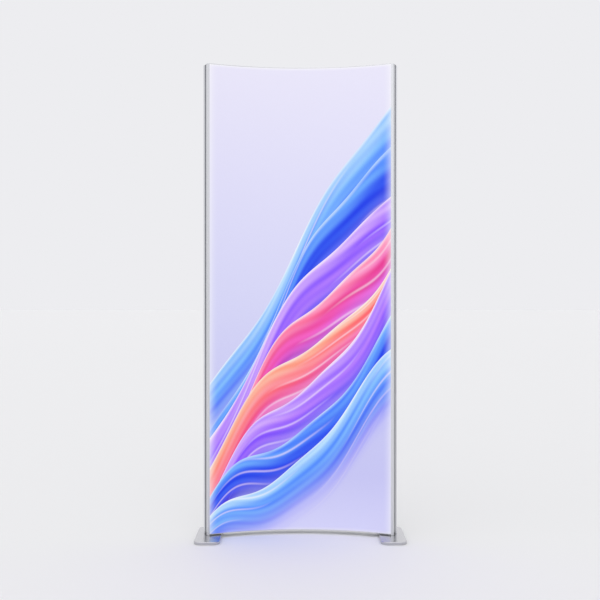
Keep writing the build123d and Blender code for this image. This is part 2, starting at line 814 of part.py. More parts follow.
def all_parts():
    parts = {
        "left_upright": left_upright(),
        "right_upright": other_side(left_upright()),
        "top_rail": top_rail(),
        "bottom_rail": bottom_rail(),
        "front_fabric": fabric(True),
        "rear_fabric": fabric(False),
        "front_edge_strip": edge_strip(True),
        "rear_edge_strip": edge_strip(False),
        "cross_brace": cross_brace(),
        "upper_supply_lead": upper_supply_lead(),
        "lower_supply_lead": lower_supply_lead(),
        "lead_clips": lead_clips(),
        "lead_grommets": lead_grommets(),
        "power_inlet": power_inlet(),
        "inlet_nut": inlet_nut(),
    }
    paired = {
        "end_cap": left_cap(),
        "end_cap_screws": left_cap_screws(),
        "upper_bracket": upper_left_bracket(),
        "lower_bracket": lower_left_bracket(),
        "upper_bracket_screws": upper_left_screws(),
        "lower_bracket_screws": upside_down(upper_left_screws()),
        "brace_plate": left_brace_plate(),
        "brace_screws": left_brace_screws(),
        "foot_plate": foot_plate(),
        "foot_pads": foot_pads(),
        "pivot_washer": pivot_washer(),
        "pivot_bolt": pivot_bolt(),
        "lock_screw": left_lock_screw(),
    }
    for name, shape in paired.items():
        parts["left_" + name] = shape
        parts["right_" + name] = other_side(shape)
    upper_lights = {
        "light_boards": light_boards(),
        "light_lenses": on_each_lens(lens()),
        "light_emitters": on_each_lens(emitter()),
        "light_board_screws": board_screws(),
        "light_plugs": board_plugs(),
        "light_jumpers": board_jumpers(),
    }
    for name, shape in upper_lights.items():
        parts["top_" + name] = shape
        parts["bottom_" + name] = upside_down(shape)
    return parts


os.makedirs("parts", exist_ok=True)
for part_name, part_shape in all_parts().items():
    export_step(group([part_shape]), f"parts/{part_name}.step")
print("half angle", round(half_angle, 3), "pivot", round(pivot_x, 3), "curve axis", round(axis_y, 3))
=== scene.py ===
# %% [markdown]
# # A curved fabric light box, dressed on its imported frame
# The object is a tall, free-standing light box: two aluminium uprights and two bowed rails carry
# a printed fabric that glows from inside, and two flat metal plates keep it upright.
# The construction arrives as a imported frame. This script adds what a camera sees: the stretched
# fabrics, the finish of each metal and plastic, a camera at the photograph's place and plain light.

# %% Load the frame
import math

import bpy
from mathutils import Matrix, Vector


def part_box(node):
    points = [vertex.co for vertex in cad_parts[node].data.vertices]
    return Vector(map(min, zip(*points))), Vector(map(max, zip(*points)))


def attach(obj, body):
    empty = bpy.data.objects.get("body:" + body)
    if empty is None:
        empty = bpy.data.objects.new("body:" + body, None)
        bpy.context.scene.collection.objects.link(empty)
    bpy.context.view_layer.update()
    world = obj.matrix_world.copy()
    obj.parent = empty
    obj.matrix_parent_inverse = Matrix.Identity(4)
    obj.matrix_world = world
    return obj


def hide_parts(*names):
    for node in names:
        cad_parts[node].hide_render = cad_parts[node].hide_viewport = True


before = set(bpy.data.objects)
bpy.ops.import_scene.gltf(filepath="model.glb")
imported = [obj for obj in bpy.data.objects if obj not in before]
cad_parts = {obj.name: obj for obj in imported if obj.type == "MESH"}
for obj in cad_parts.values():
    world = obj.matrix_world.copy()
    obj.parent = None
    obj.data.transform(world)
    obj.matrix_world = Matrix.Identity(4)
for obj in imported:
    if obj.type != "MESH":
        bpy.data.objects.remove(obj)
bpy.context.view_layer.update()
bpy.ops.object.select_all(action="DESELECT")

# %% [markdown]
# ## The frame's own measures
# Everything that is added sits on the frame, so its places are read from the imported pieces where
# a box can tell them. The bow can't be read from a box, so the maker's own figures for it are
# repeated here: the chord across the lit face, the face's radius, and how far in from the side the
# feet turn, because the origin is midway between the two foot pivots.

# %% Measures of the bow
MM = 0.001
FRONT_CHORD = 785.6 * MM      # straight across the lit face, between the two front corners
FRONT_RADIUS = 940.0 * MM     # of the lit face, which is hollow towards the viewer
FRAME_DEPTH = 52.0 * MM       # front lip to rear lip
PIVOT_INSET = 15.75 * MM      # the upright's outer side to the foot's pivot
LIP_WIDTH = 9.0 * MM          # bare metal beside the lit face, measured along the curve
RAIL_LIP = 2.0 * MM           # thickness of the rails' outer lips
FABRIC_RECESS = 0.2 * MM      # the fabric's face lies this far behind the lips

half_angle = math.asin(FRONT_CHORD / 2 / FRONT_RADIUS)
axis_y = -((FRONT_RADIUS + FRAME_DEPTH / 2) * math.cos(half_angle)
           + PIVOT_INSET * math.sin(half_angle))
face_radius = FRONT_RADIUS + FABRIC_RECESS
rear_radius = FRONT_RADIUS + FRAME_DEPTH - FABRIC_RECESS
panel_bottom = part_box("bottom_rail")[0][2]
panel_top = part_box("top_rail")[1][2]
print("half angle", round(math.degrees(half_angle), 2), "axis at y", round(axis_y, 4),
      "panel from", round(panel_bottom, 4), "to", round(panel_top, 4))

# %% [markdown]
# ## The camera
# The photograph was taken straight on, from a little over half the object's height, with a
# slightly long lens. Its place was worked out once, from the corners of the frame, as a distance
# in front of the front corners and a height above the floor.

# %% Camera
CAMERA_DISTANCE = 3.993       # in front of the line between the frame's two front corners
CAMERA_HEIGHT = 1.042
CAMERA_ASIDE = -0.0013
CAMERA_PITCH = math.radians(-0.40)
LENS = 56.52                  # focal length in mm
SENSOR = 36.0                 # width in mm
FAR_ENOUGH = 60.0             # metres that the camera looks, to the floor's far edge

corner_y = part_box("left_upright")[0][1]
bpy.ops.object.camera_add(
    location=(CAMERA_ASIDE, corner_y - CAMERA_DISTANCE, CAMERA_HEIGHT),
    rotation=(math.pi / 2 + CAMERA_PITCH, 0, 0),
)
camera = bpy.context.object
camera.name = "photograph_camera"
camera.data.lens = LENS
camera.data.sensor_width = SENSOR
camera.data.clip_end = FAR_ENOUGH
bpy.context.scene.camera = camera
print("camera at", [round(c, 3) for c in camera.location])

# %% [markdown]
# ## Building materials from nodes
# Each material is a small network of nodes. Two helpers keep the networks short to read: one adds
# a node with its settings and links in one line, and one turns the hex colours that designers use
# into the linear numbers that the renderer works in.

# %% Helpers for materials
MATH = "ShaderNodeMath"
TIMES = {"operation": "MULTIPLY"}
TIMES_PLUS = {"operation": "MULTIPLY_ADD"}
LARGER = {"operation": "MAXIMUM"}
COLOURS = {"data_type": "RGBA"}


def colour(code, alpha=1.0):
    """An sRGB hex colour as linear red, green, blue and alpha."""
    channels = [int(code[i:i + 2], 16) / 255 for i in (1, 3, 5)]
    linear = [c / 12.92 if c <= 0.04045 else ((c + 0.055) / 1.055) ** 2.4 for c in channels]
    return (*linear, alpha)


def node(tree, kind, settings=None, **links):
    """Adds one node. Settings are the node's own properties. Links feed its inputs, named in
    plain words or numbered as in_0, in_1, and each is a value, a socket, or a whole node, which
    stands for its first output."""
    made = tree.nodes.new(kind)
    for key, value in (settings or {}).items():
        setattr(made, key, value)
    for key, value in links.items():
        name = int(key[3:]) if key.startswith("in_") else key.replace("_", " ").title()
        source = value.outputs[0] if isinstance(value, bpy.types.Node) else value
        if isinstance(source, bpy.types.NodeSocket):
            tree.links.new(source, made.inputs[name])
        else:
            made.inputs[name].default_value = source
    return made


def new_material(name):
    """An empty material with a Principled shader wired to its output."""
    material = bpy.data.materials.new(name)
    material.use_nodes = True
    tree = material.node_tree
    tree.nodes.clear()
    shader = node(tree, "ShaderNodeBsdfPrincipled")
    node(tree, "ShaderNodeOutputMaterial", in_0=shader)
    return material, tree, shader


def object_place(tree, scale):
    """Object coordinates, stretched so that a pattern has its real size along each axis."""
    place = node(tree, "ShaderNodeTexCoord").outputs["Object"]
    return node(tree, "ShaderNodeMapping", in_0=place, Scale=scale)


def finish_with(tree, shader, tone, satin, relief):
    """Wires a finish's colour, roughness and relief to its shader."""
    tree.links.new(tone.outputs[2], shader.inputs["Base Color"])
    tree.links.new(satin.outputs[0], shader.inputs["Roughness"])
    tree.links.new(relief.outputs[0], shader.inputs["Normal"])


print("sample: mid grey is", round(colour("#808080")[0], 3), "in linear light")


# %% [markdown]
# ## Anodised aluminium
# The uprights and rails are aluminium, pushed through a die, brushed lightly and anodised. The die
# leaves fine lines that run only along the length. An image of brushed metal would need a file and
# would repeat, so a noise is stretched a few hundredfold along one axis instead. To the eye,
# anodising gives a soft satin metal with no strong highlights, and its two close shades keep a
# long plain face from looking like plastic.

# %% Extruded aluminium
DIE_LINE = 0.4 * MM           # spacing of the die's lines
DIE_LINE_LENGTH = 600 * MM    # before one fades into the next
DRAWN_COARSER = 4             # the real spacing is too fine to show, so lines are drawn wider
HANDLING = (6, 6, 1.5)        # cloudy variation to a metre, drawn out along the height
FINE_RELIEF = 0.02 * MM       # of die lines and scratches
DULLER, GLOSSIER = 0.06, 0.05  # how far the roughness strays each way


def extruded_aluminium(name, along, tint, rough):
    """Satin metal with die lines that run along one axis, 0 for X to 2 for Z."""
    material, tree, shader = new_material(name)
    scale = [1 / (DIE_LINE * DRAWN_COARSER)] * 3
    scale[along] = 1 / DIE_LINE_LENGTH
    lines = node(tree, "ShaderNodeTexNoise", in_0=object_place(tree, scale), Detail=2.0, Scale=1.0)
    cloud = node(tree, "ShaderNodeTexNoise", in_0=object_place(tree, HANDLING), Detail=3.0,
                 Scale=1.0)
    tone = node(tree, "ShaderNodeMix", COLOURS, in_0=lines, in_6=colour(tint[0]),
                in_7=colour(tint[1]))
    satin = node(tree, "ShaderNodeMapRange", in_0=cloud, in_3=rough - GLOSSIER,
                 in_4=rough + DULLER)
    relief = node(tree, "ShaderNodeBump", Strength=0.12, Distance=FINE_RELIEF, Height=lines)
    shader.inputs["Metallic"].default_value = 1.0
    finish_with(tree, shader, tone, satin, relief)
    return material


upright_metal = extruded_aluminium("anodised_aluminium_upright", 2, ("#DBDCDF", "#CFD0D4"), 0.36)
rail_metal = extruded_aluminium("anodised_aluminium_rail", 0, ("#DEDFE2", "#D2D3D6"), 0.40)
print("metals", upright_metal.name, rail_metal.name)

# %% [markdown]
# ## The bowed pieces
# The rails and the brace are rolled into their curve after extrusion, so their die lines follow the
# bow. Straight coordinates would cut across it, and an unwrapped map would need seams. So these
# materials first work out, for each point, how far along the bow it lies and how far from the
# bow's axis, and draw the lines from that.

# %% Coordinates that follow the bow
def bow_place(tree):
    """For each point: metres along the bow, metres from the bow's axis, and height."""
    place = node(tree, "ShaderNodeTexCoord").outputs["Object"]
    parts = node(tree, "ShaderNodeSeparateXYZ", in_0=place)
    back = node(tree, MATH, {"operation": "SUBTRACT"}, in_0=parts.outputs[1], in_1=axis_y)
    angle = node(tree, MATH, {"operation": "ARCTAN2"}, in_0=parts, in_1=back)
    along = node(tree, MATH, TIMES, in_0=angle, in_1=face_radius)
    flat = node(tree, "ShaderNodeCombineXYZ", in_0=parts, in_1=back)
    out = node(tree, "ShaderNodeVectorMath", {"operation": "LENGTH"}, in_0=flat)
    return node(tree, "ShaderNodeCombineXYZ", in_0=along, in_1=out.outputs[1],
                in_2=parts.outputs[2])


def follow_the_bow(material):
    """Draws a metal's die lines along the bow in place of along X."""
    tree = material.node_tree
    place = bow_place(tree)
    for mapping in [n for n in tree.nodes if n.type == "MAPPING"]:
        tree.links.new(place.outputs[0], mapping.inputs[0])


follow_the_bow(rail_metal)
brace_metal = extruded_aluminium("mill_finish_aluminium_brace", 0, ("#BFC0C2", "#AFB0B3"), 0.42)
follow_the_bow(brace_metal)
print("along the bow:", rail_metal.name, brace_metal.name)

# %% [markdown]
# ## The groove in the uprights
# A shallow groove runs down the outer side of each upright, and it reads as a dark line beside the
# bright lip. That dark line is shade in the recess, and here it is painted: the groove's floor and
# walls get a darker grey than the side. An imported piece has one finish, so the finish itself has
# to find the groove. It turns its coordinates to lie along the upright's own side, and asks how
# deep a point lies behind the lip and how far inside the side face.

# %% Painted shade in the groove
GROOVE_MIDDLE = 26.0 * MM     # behind the front lip
GROOVE_WIDTH = 16.0 * MM
GROOVE_DEPTH = 2.5 * MM
GROOVE_MARGIN = 0.1 * MM      # takes in the groove's own walls, and leaves out the side face
# Painted shade: the darker grey that the groove's floor and walls get, standing in for the shade in
# the recess
GROOVE_PAINTED_SHADE = "#A9AAAE"


def paint_groove_shade(material):
    """Paints shade into the groove: its floor and walls get a darker grey than the side."""
    tree = material.node_tree
    base = tree.nodes["Principled BSDF"].inputs["Base Color"]
    place = node(tree, "ShaderNodeTexCoord").outputs["Object"]
    from_axis = node(tree, "ShaderNodeVectorMath", {"operation": "SUBTRACT"}, in_0=place,
                     in_1=(0, axis_y, 0))
    either_side = node(tree, "ShaderNodeVectorMath", {"operation": "ABSOLUTE"}, in_0=from_axis)
    turned = node(tree, "ShaderNodeMapping", in_0=either_side, Rotation=(0, 0, half_angle),
                  Location=(0, -FRONT_RADIUS, 0))
    parts = node(tree, "ShaderNodeSeparateXYZ", in_0=turned)
    in_width = node(tree, MATH, {"operation": "COMPARE"}, in_0=parts.outputs[1],
                    in_1=GROOVE_MIDDLE, in_2=GROOVE_WIDTH / 2 + GROOVE_MARGIN)
    in_depth = node(tree, MATH, {"operation": "COMPARE"}, in_0=parts,
                    in_1=-GROOVE_DEPTH / 2 - GROOVE_MARGIN, in_2=GROOVE_DEPTH / 2)
    inside = node(tree, MATH, TIMES, in_0=in_width, in_1=in_depth)
    groove_shaded = node(tree, "ShaderNodeMix", COLOURS, in_0=inside,
                  in_6=base.links[0].from_socket, in_7=colour(GROOVE_PAINTED_SHADE))
    tree.links.new(groove_shaded.outputs[2], base)


# Painted shade down the groove of each upright
paint_groove_shade(upright_metal)
print("groove from", round((GROOVE_MIDDLE - GROOVE_WIDTH / 2) / MM), "to",
      round((GROOVE_MIDDLE + GROOVE_WIDTH / 2) / MM), "mm behind the lip")

# %% [markdown]
# ## The foot plates
# Each plate is 12 mm steel, cut, bevelled and brushed along its length, then given a clear satin
# coat. It mirrors the frame above it in soft streaks, which needs a low roughness, and its fine
# scratches run from front to back. They are made as the die lines are, from a stretched noise,
# and a second, rounder noise makes the coat a little duller in patches.

# %% Brushed steel plate
BRUSH_LINE = 0.35 * MM        # spacing of the scratches, drawn coarser as the die lines are
SCRATCH_LENGTH = 1 / 9        # metres, so about 110 mm
WEAR = (14, 14, 14)           # patches to a metre where hands and shoes have dulled the coat
SHINIEST, DULLEST = 0.19, 0.30


def brushed_steel(name):
    """Steel with scratches from front to back under a thin clear coat."""
    material, tree, shader = new_material(name)
    across = 1 / (BRUSH_LINE * DRAWN_COARSER)
    place = object_place(tree, (across, 1 / SCRATCH_LENGTH, across))
    scratches = node(tree, "ShaderNodeTexNoise", in_0=place, Detail=3.0, Scale=1.0)
    wear = node(tree, "ShaderNodeTexNoise", in_0=object_place(tree, WEAR), Detail=4.0, Scale=1.0)
    tone = node(tree, "ShaderNodeMix", COLOURS, in_0=scratches, in_6=colour("#C8C8CB"),
                in_7=colour("#B6B6BA"))
    satin = node(tree, "ShaderNodeMapRange", in_0=wear, in_3=SHINIEST, in_4=DULLEST)
    relief = node(tree, "ShaderNodeBump", Strength=0.10, Distance=FINE_RELIEF, Height=scratches)
    shader.inputs["Metallic"].default_value = 1.0
    shader.inputs["Coat Weight"].default_value = 0.15
    shader.inputs["Coat Roughness"].default_value = 0.2
    finish_with(tree, shader, tone, satin, relief)
    return material


plate_metal = brushed_steel("brushed_steel_plate")
print("plates:", plate_metal.name)

# %% [markdown]
# ## Small hardware, plastics and rubber
# Screws, castings, boards, rubber and moulded parts differ in a few things only: whether they are
# metal, how rough they are, and how coarse their grain is. One function makes them all. It takes
# the grain in millimetres, so that a casting looks cast and a plated screw looks smooth.

# %% Plain finishes
GRAIN_RELIEF = 0.05 * MM
ROUGHNESS_SPREAD = 0.05


def plain_finish(name, shades, rough, grain_mm, metal=0.0, bump=0.2):
    """A cast, plated or moulded surface: two close shades and a fine grain."""
    material, tree, shader = new_material(name)
    place = object_place(tree, (1 / (grain_mm * MM),) * 3)
    grain = node(tree, "ShaderNodeTexNoise", in_0=place, Detail=3.0, Scale=1.0)
    tone = node(tree, "ShaderNodeMix", COLOURS, in_0=grain, in_6=colour(shades[0]),
                in_7=colour(shades[1]))
    spread = node(tree, "ShaderNodeMapRange", in_0=grain, in_3=rough - ROUGHNESS_SPREAD,
                  in_4=rough + ROUGHNESS_SPREAD)
    relief = node(tree, "ShaderNodeBump", Strength=bump, Distance=GRAIN_RELIEF, Height=grain)
    shader.inputs["Metallic"].default_value = metal
    finish_with(tree, shader, tone, spread, relief)
    return material


# %% Metals of the hardware
# Electroplated zinc: bright and a little warm, with the faint mottle of its crystals.
zinc = plain_finish("zinc_plated_steel", ("#B9BAB8", "#A5A6A6"), 0.30, 0.8, metal=1.0)
# Black oxide is a thin oiled skin, so the screw looks dark and half dull, not like bare metal.
black_oxide = plain_finish("black_oxide_steel", ("#1B1B1D", "#252527"), 0.42, 0.6)
# Tumbled and anodised caps: smoother and lighter than the brushed uprights that they close.
cap_metal = plain_finish("satin_aluminium_cap", ("#E4E5E7", "#D9DADD"), 0.30, 0.5, metal=1.0)
# Die casting leaves a dull, slightly coarse skin.
cast_metal = plain_finish("die_cast_aluminium", ("#A6A8AB", "#95979B"), 0.5, 1.2, metal=1.0)
print("hardware:", zinc.name, black_oxide.name, cap_metal.name, cast_metal.name)

# %% Plastics and rubber
# Moulded rubber is nearly black and scatters light, so it has no clear highlight.
black_rubber = plain_finish("black_rubber", ("#17171A", "#202022"), 0.8, 0.5)
# Extruded silicone is milky, with a soft waxy shine.
silicone = plain_finish("silicone_strip", ("#DADCDD", "#CFD1D3"), 0.45, 1.0)
# Solder mask is a thin white lacquer, which is why the boards look glazed.
white_board = plain_finish("white_solder_mask", ("#EDEDEA", "#E2E2DE"), 0.35, 0.7)
# Moulded nylon is off-white and satin, from the spark-eroded mould.
white_nylon = plain_finish("moulded_nylon", ("#E4E4E0", "#D9D9D5"), 0.5, 0.8)
# Extruded soft PVC: a plain grey sleeve with a dull shine.
lead_sleeve = plain_finish("soft_pvc_sleeve", ("#D6D6D6", "#CBCBCC"), 0.5, 1.0)
# The inlet is moulded in black plastic with a fine spark-eroded grain.
black_plastic = plain_finish("moulded_black_plastic", ("#1A1A1C", "#222224"), 0.45, 0.6)
print("moulded:", black_rubber.name, silicone.name, white_nylon.name, black_plastic.name)

# %% [markdown]
# ## Lens and emitter
# The light bars sit on the rails inside the box, out of sight while both fabrics are on. They are
# finished all the same, because the part may be shown with a fabric off. Lens and emitter could
# have networks of their own, but both start from a plain finish and get only what sets them
# apart: the lens lets light through, and the emitter glows.

# %% Lens and emitter
# Injection-moulded acrylic: clear with a polished skin, so that light goes through and glints.
ACRYLIC_IOR = 1.49
lens_acrylic = plain_finish("acrylic_lens", ("#F4F6F8", "#EBEEF1"), 0.12, 2.0, bump=0.02)
lens_shader = lens_acrylic.node_tree.nodes["Principled BSDF"]
lens_shader.inputs["IOR"].default_value = ACRYLIC_IOR
lens_shader.inputs["Transmission Weight"].default_value = 0.85

# The emitter is a chip under yellow phosphor, which glows nearly white.
emitter_glow = plain_finish("phosphor_emitter", ("#FFF6C8", "#FFEFB0"), 0.4, 0.5)
emitter_shader = emitter_glow.node_tree.nodes["Principled BSDF"]
emitter_shader.inputs["Emission Color"].default_value = colour("#FFF9EC")
emitter_shader.inputs["Emission Strength"].default_value = 1.0
print("light bars:", lens_acrylic.name, emitter_glow.name)

# %% [markdown]
# ## Dressing the frame's pieces
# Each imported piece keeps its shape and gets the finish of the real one. They could be dressed one
# by one, but the names already tell which is which, so a list of name endings is enough for all.

# %% Finishes by name
FINISHES = [
    ("lock_screw", black_oxide), ("_screws", zinc), ("pivot_bolt", zinc), ("pivot_washer", zinc),
    ("inlet_nut", zinc), ("_bracket", cast_metal), ("foot_plate", plate_metal),
    ("foot_pads", black_rubber), ("lead_grommets", black_rubber), ("edge_strip", silicone),
    ("light_boards", white_board), ("light_lenses", lens_acrylic),
    ("light_emitters", emitter_glow), ("light_plugs", white_nylon), ("lead_clips", white_nylon),
    ("light_jumpers", lead_sleeve), ("supply_lead", lead_sleeve), ("power_inlet", black_plastic),
    ("top_rail", rail_metal), ("bottom_rail", rail_metal), ("cross_brace", brace_metal),
    ("brace_plate", cast_metal), ("upright", upright_metal), ("end_cap", cap_metal),
]


def dress(name, piece):
    """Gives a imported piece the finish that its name's ending asks for."""
    for ending, finish in FINISHES:
        if name.endswith(ending):
            piece.data.materials.clear()
            piece.data.materials.append(finish)
            return finish.name
    return None


dressed = {name: dress(name, piece) for name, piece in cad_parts.items()}
print("left for later:", [name for name, finish in dressed.items() if finish is None])

# %% [markdown]
# ## Stretched fabric
# A silicone strip is sewn round each fabric and pushed into the frame's slots, which pulls the
# knit drum-tight. A cloth simulation could find that shape, but it would only end where the frame
# holds the cloth anyway: flat along the height, bowed across. So each sheet starts as a flat grid
# cut to its real size, and every point is laid on the bow. What shows of the strip is the small
# roll where the cloth turns back into the slot, and the outermost rows make that.

# %% Sizes of the cloth
EDGE_GAP = 0.3 * MM           # between the fabric's roll and the frame's lip
ROLL_RADIUS = 0.6 * MM
ROLL_STEPS = 4
CLOTH_THICKNESS = 0.45 * MM
COLUMNS = 96
ROWS = 80
SMOOTH_BELOW = math.radians(50)   # edges flatter than this are shaded smooth

roll_length = math.pi / 2 * ROLL_RADIUS
print("the roll takes", round(roll_length / MM, 2), "mm of cloth on each side")


# %% Where a point of the cloth goes
def stations(half_width, steps):
    """Distances from the middle of a sheet to each row of points, the rolled edge included."""
    flat = [half_width * (2 * n / steps - 1) for n in range(steps + 1)]
    roll = [half_width + roll_length * n / ROLL_STEPS for n in range(1, ROLL_STEPS + 1)]
    return [-r for r in reversed(roll)] + flat + roll


def rolled(distance, half_width):
    """Where a point of the flat cloth lies across the sheet, and how far the roll takes it back."""
    beyond = abs(distance) - half_width
    if beyond <= 0:
        return distance, 0.0
    turn = beyond / ROLL_RADIUS
    across = half_width + ROLL_RADIUS * math.sin(turn)
    return math.copysign(across, distance), ROLL_RADIUS * (1 - math.cos(turn))


# %% Finish a sheet as by hand
def face_outwards(piece, facing):
    """Turns the cloth's faces to the viewer's side or to the back."""
    middle = piece.data.polygons[len(piece.data.polygons) // 2]
    if middle.normal.y * facing < 0:
        bpy.ops.object.mode_set(mode="EDIT")
        bpy.ops.mesh.select_all(action="SELECT")
        bpy.ops.mesh.flip_normals()
        bpy.ops.object.mode_set(mode="OBJECT")


def thicken(piece, thickness, offset):
    """Gives a sheet its thickness, to one side of its faces, and smooth shading."""
    solid = piece.modifiers.new("cloth_thickness", "SOLIDIFY")
    solid.thickness = thickness
    solid.offset = offset
    bpy.ops.object.modifier_apply(modifier=solid.name)
    bpy.ops.object.shade_smooth_by_angle(angle=SMOOTH_BELOW)
    bpy.ops.object.select_all(action="DESELECT")


# %% Lay a flat sheet on the bow
def bowed_sheet(name, radius, facing):
    """A fabric whose face lies at a radius. It faces the viewer with facing -1 and the back with
    +1. Returns the piece and the flat size that it was cut to."""
    lip_angle = math.asin(LIP_WIDTH / radius)
    half_width = radius * (half_angle - lip_angle) - EDGE_GAP - ROLL_RADIUS
    half_height = (panel_top - panel_bottom) / 2 - RAIL_LIP - EDGE_GAP - ROLL_RADIUS
    middle_height = (panel_top + panel_bottom) / 2
    across = stations(half_width, COLUMNS)
    upward = stations(half_height, ROWS)
    bpy.ops.mesh.primitive_grid_add(x_subdivisions=len(across) - 1, y_subdivisions=len(upward) - 1,
                                    size=2.0, location=(0, 0, 0))
    piece = bpy.context.object
    piece.name = name
    mesh = piece.data
    for v in mesh.vertices:       # the grid runs from -1 to 1 both ways
        column = round((v.co.x + 1) / 2 * (len(across) - 1))
        row = round((v.co.y + 1) / 2 * (len(upward) - 1))
        s, back_s = rolled(across[column], half_width)
        h, back_h = rolled(upward[row], half_height)
        depth = radius - facing * max(back_s, back_h)
        v.co = (depth * math.sin(s / radius), axis_y + depth * math.cos(s / radius),
                middle_height + h)
    cloth_map = mesh.uv_layers.active or mesh.uv_layers.new(name="cloth")
    cloth_map.name = "cloth"
    for loop in mesh.loops:
        p = mesh.vertices[loop.vertex_index].co
        arc = math.atan2(p.x, p.y - axis_y) * radius
        cloth_map.data[loop.index].uv = (arc, p.z - panel_bottom)
    face_outwards(piece, facing)
    thicken(piece, CLOTH_THICKNESS, -1.0)
    return piece, (2 * (half_width + roll_length), 2 * (half_height + roll_length))


front_sheet, front_cut = bowed_sheet("printed_face", face_radius, -1)
rear_sheet, rear_cut = bowed_sheet("rear_backing", rear_radius, 1)
print("front cloth", [round(c, 3) for c in front_cut], "rear", [round(c, 3) for c in rear_cut])

# %% [markdown]
# ## The printed picture
# The cloth is printed by dye sublimation, so its colours lie in the threads and blend softly. An
# image could stand for the print, but nodes keep it sharp from any distance and need no file. The
# cloth carries its own map in real metres: along the bow, and up from the frame's underside. The
# picture is drawn on it from nothing but curves: each veil is a wave with a sharp crest that fades
# out downwards, coloured by how deep below its crest a point lies. Laid over each other they look
# like folds of thin silk. The design is a plain, generic one.

# %% The ground
# Shares of the height and colours. The lit rails throw a pale line on the cloth along its edges.
GROUND = [
    (0.0, "#EFEDFC"), (0.0022, "#E6E4FB"), (0.005, "#D6D5FA"), (0.12, "#C9C8F4"),
    (0.26, "#CBCBF5"), (0.5, "#D8D8F8"), (0.75, "#E2E0FA"), (0.9955, "#EBE8FB"),
    (0.998, "#FFFFFF"), (1.0, "#FFFFFF"),
]
print("ground of", len(GROUND), "colours")


# %% Colours on a ramp
def lay_colours(color_ramp, stops, easing):
    """Gives a colour ramp its stops, each a position and a hex colour."""
    color_ramp.interpolation = easing
    while len(color_ramp.elements) < len(stops):
        color_ramp.elements.new(1.0)
    for element, (position, code) in zip(color_ramp.elements, stops):
        element.position = position
        element.color = colour(code)


# %% The dyes of the veils, from crest to hem
SKY = [(0.0, "#E6F2FF"), (0.05, "#A9D4FF"), (0.22, "#6FA8FF"), (0.5, "#5B86FB"),
       (0.75, "#8C8CFF"), (1.0, "#C3BEFF")]
BLUE = [(0.0, "#B9D6FF"), (0.06, "#5E97FF"), (0.25, "#3358F2"), (0.5, "#3A3FE0"),
        (0.75, "#6A5CF6"), (1.0, "#A79CFF")]
VIOLET = [(0.0, "#F1DCFF"), (0.05, "#C79DFF"), (0.25, "#A06BFF"), (0.5, "#7E57F8"),
          (0.75, "#6E6BFF"), (1.0, "#B3B0FF")]
MAGENTA = [(0.0, "#FFD9E4"), (0.05, "#FF8DB6"), (0.22, "#F04FA8"), (0.45, "#D254D6"),
           (0.7, "#A562F5"), (1.0, "#B7A0FF")]
CORAL = [(0.0, "#FFE9DA"), (0.06, "#FFB59E"), (0.22, "#FF7F88"), (0.45, "#F55FA6"),
         (0.7, "#CC69E0"), (1.0, "#B99CFF")]
print("five dyes, each from a pale crest to a hem that melts into the ground")

# %% The veils, from the rearmost to the nearest
# Each has, in metres, the height of its crest at the middle of the bow, its slope, the swell and
# wavelength of its wave and that wave's phase, its depth and how that changes to the right. Last
# comes its fade, where a larger one keeps the veil solid further down, and its dye.
VEILS = [
    (1.24, 1.42, 0.070, 0.90, 0.2, 0.42, 0.25, 0.80, SKY),
    (1.10, 1.50, 0.085, 0.82, 0.9, 0.40, 0.20, 0.75, BLUE),
    (0.99, 1.30, 0.080, 0.88, 1.5, 0.40, -0.15, 0.80, VIOLET),
    (0.86, 1.36, 0.090, 0.80, 2.2, 0.36, 0.22, 0.75, MAGENTA),
    (0.75, 1.12, 0.080, 0.86, 2.8, 0.32, -0.18, 0.80, CORAL),
    (0.62, 1.20, 0.075, 0.78, 3.4, 0.34, 0.20, 0.75, VIOLET),
    (0.48, 0.98, 0.080, 0.84, 4.0, 0.34, 0.25, 0.80, BLUE),
    (0.36, 0.90, 0.065, 0.80, 4.7, 0.30, 0.20, 0.75, SKY),
]
print(len(VEILS), "veils")

# %% Waves on the cloth
def wave(tree, place, radians, phase):
    """A sine wave along a place on the cloth: it turns by so many radians for each unit of it."""
    turn = node(tree, MATH, TIMES_PLUS, in_0=place, in_1=radians, in_2=phase)
    return node(tree, MATH, {"operation": "SINE"}, in_0=turn)


# %% Folds and gleams in a veil
# A turn is in radians over the whole depth of a veil, and a slant in radians to a metre sideways.
DRIFT_SLANT, DRIFT_REACH = 5.5, 0.13
WIDE_TURN, WIDE_SLANT, WIDE_SHARE = 21.0, 4.0, 0.60
FINE_TURN, FINE_SLANT, FINE_SHARE = 52.0, -7.0, 0.40
FOLD_CONTRAST, FOLD_LEVEL = 0.26, 0.52
GLEAM_TURN, GLEAM_SHARPNESS, GLEAM_STRENGTH = 34.0, 7.0, 0.5
SWELL_TURN, SWELL_SLANT = 5.0, 8.0
GLEAM_TINT = "#FFE8F6"


def folded(tree, x, share, phase, dye):
    """Long soft folds that run along a veil and drift apart, as on thin silk."""
    drift = wave(tree, x, DRIFT_SLANT, phase)
    across = node(tree, MATH, TIMES_PLUS, in_0=drift, in_1=DRIFT_REACH, in_2=share)
    wide_slant = node(tree, MATH, TIMES_PLUS, in_0=x, in_1=WIDE_SLANT, in_2=phase * 3)
    fine_slant = node(tree, MATH, TIMES_PLUS, in_0=x, in_1=FINE_SLANT, in_2=phase)
    wide = node(tree, MATH, TIMES, in_0=wave(tree, across, WIDE_TURN, wide_slant),
                in_1=WIDE_SHARE)
    relief = node(tree, MATH, TIMES_PLUS, in_0=wave(tree, across, FINE_TURN, fine_slant),
                  in_1=FINE_SHARE, in_2=wide)
    shade = node(tree, MATH, TIMES_PLUS, in_0=relief, in_1=FOLD_CONTRAST, in_2=FOLD_LEVEL)
    grey = node(tree, "ShaderNodeCombineColor", in_0=shade, in_1=shade, in_2=shade)
    shaded = node(tree, "ShaderNodeMix", {"data_type": "RGBA", "blend_type": "SOFT_LIGHT"},
                  in_0=1.0, in_6=dye, in_7=grey).outputs[2]
    return gleaming(tree, x, across, wide_slant, phase, shaded)


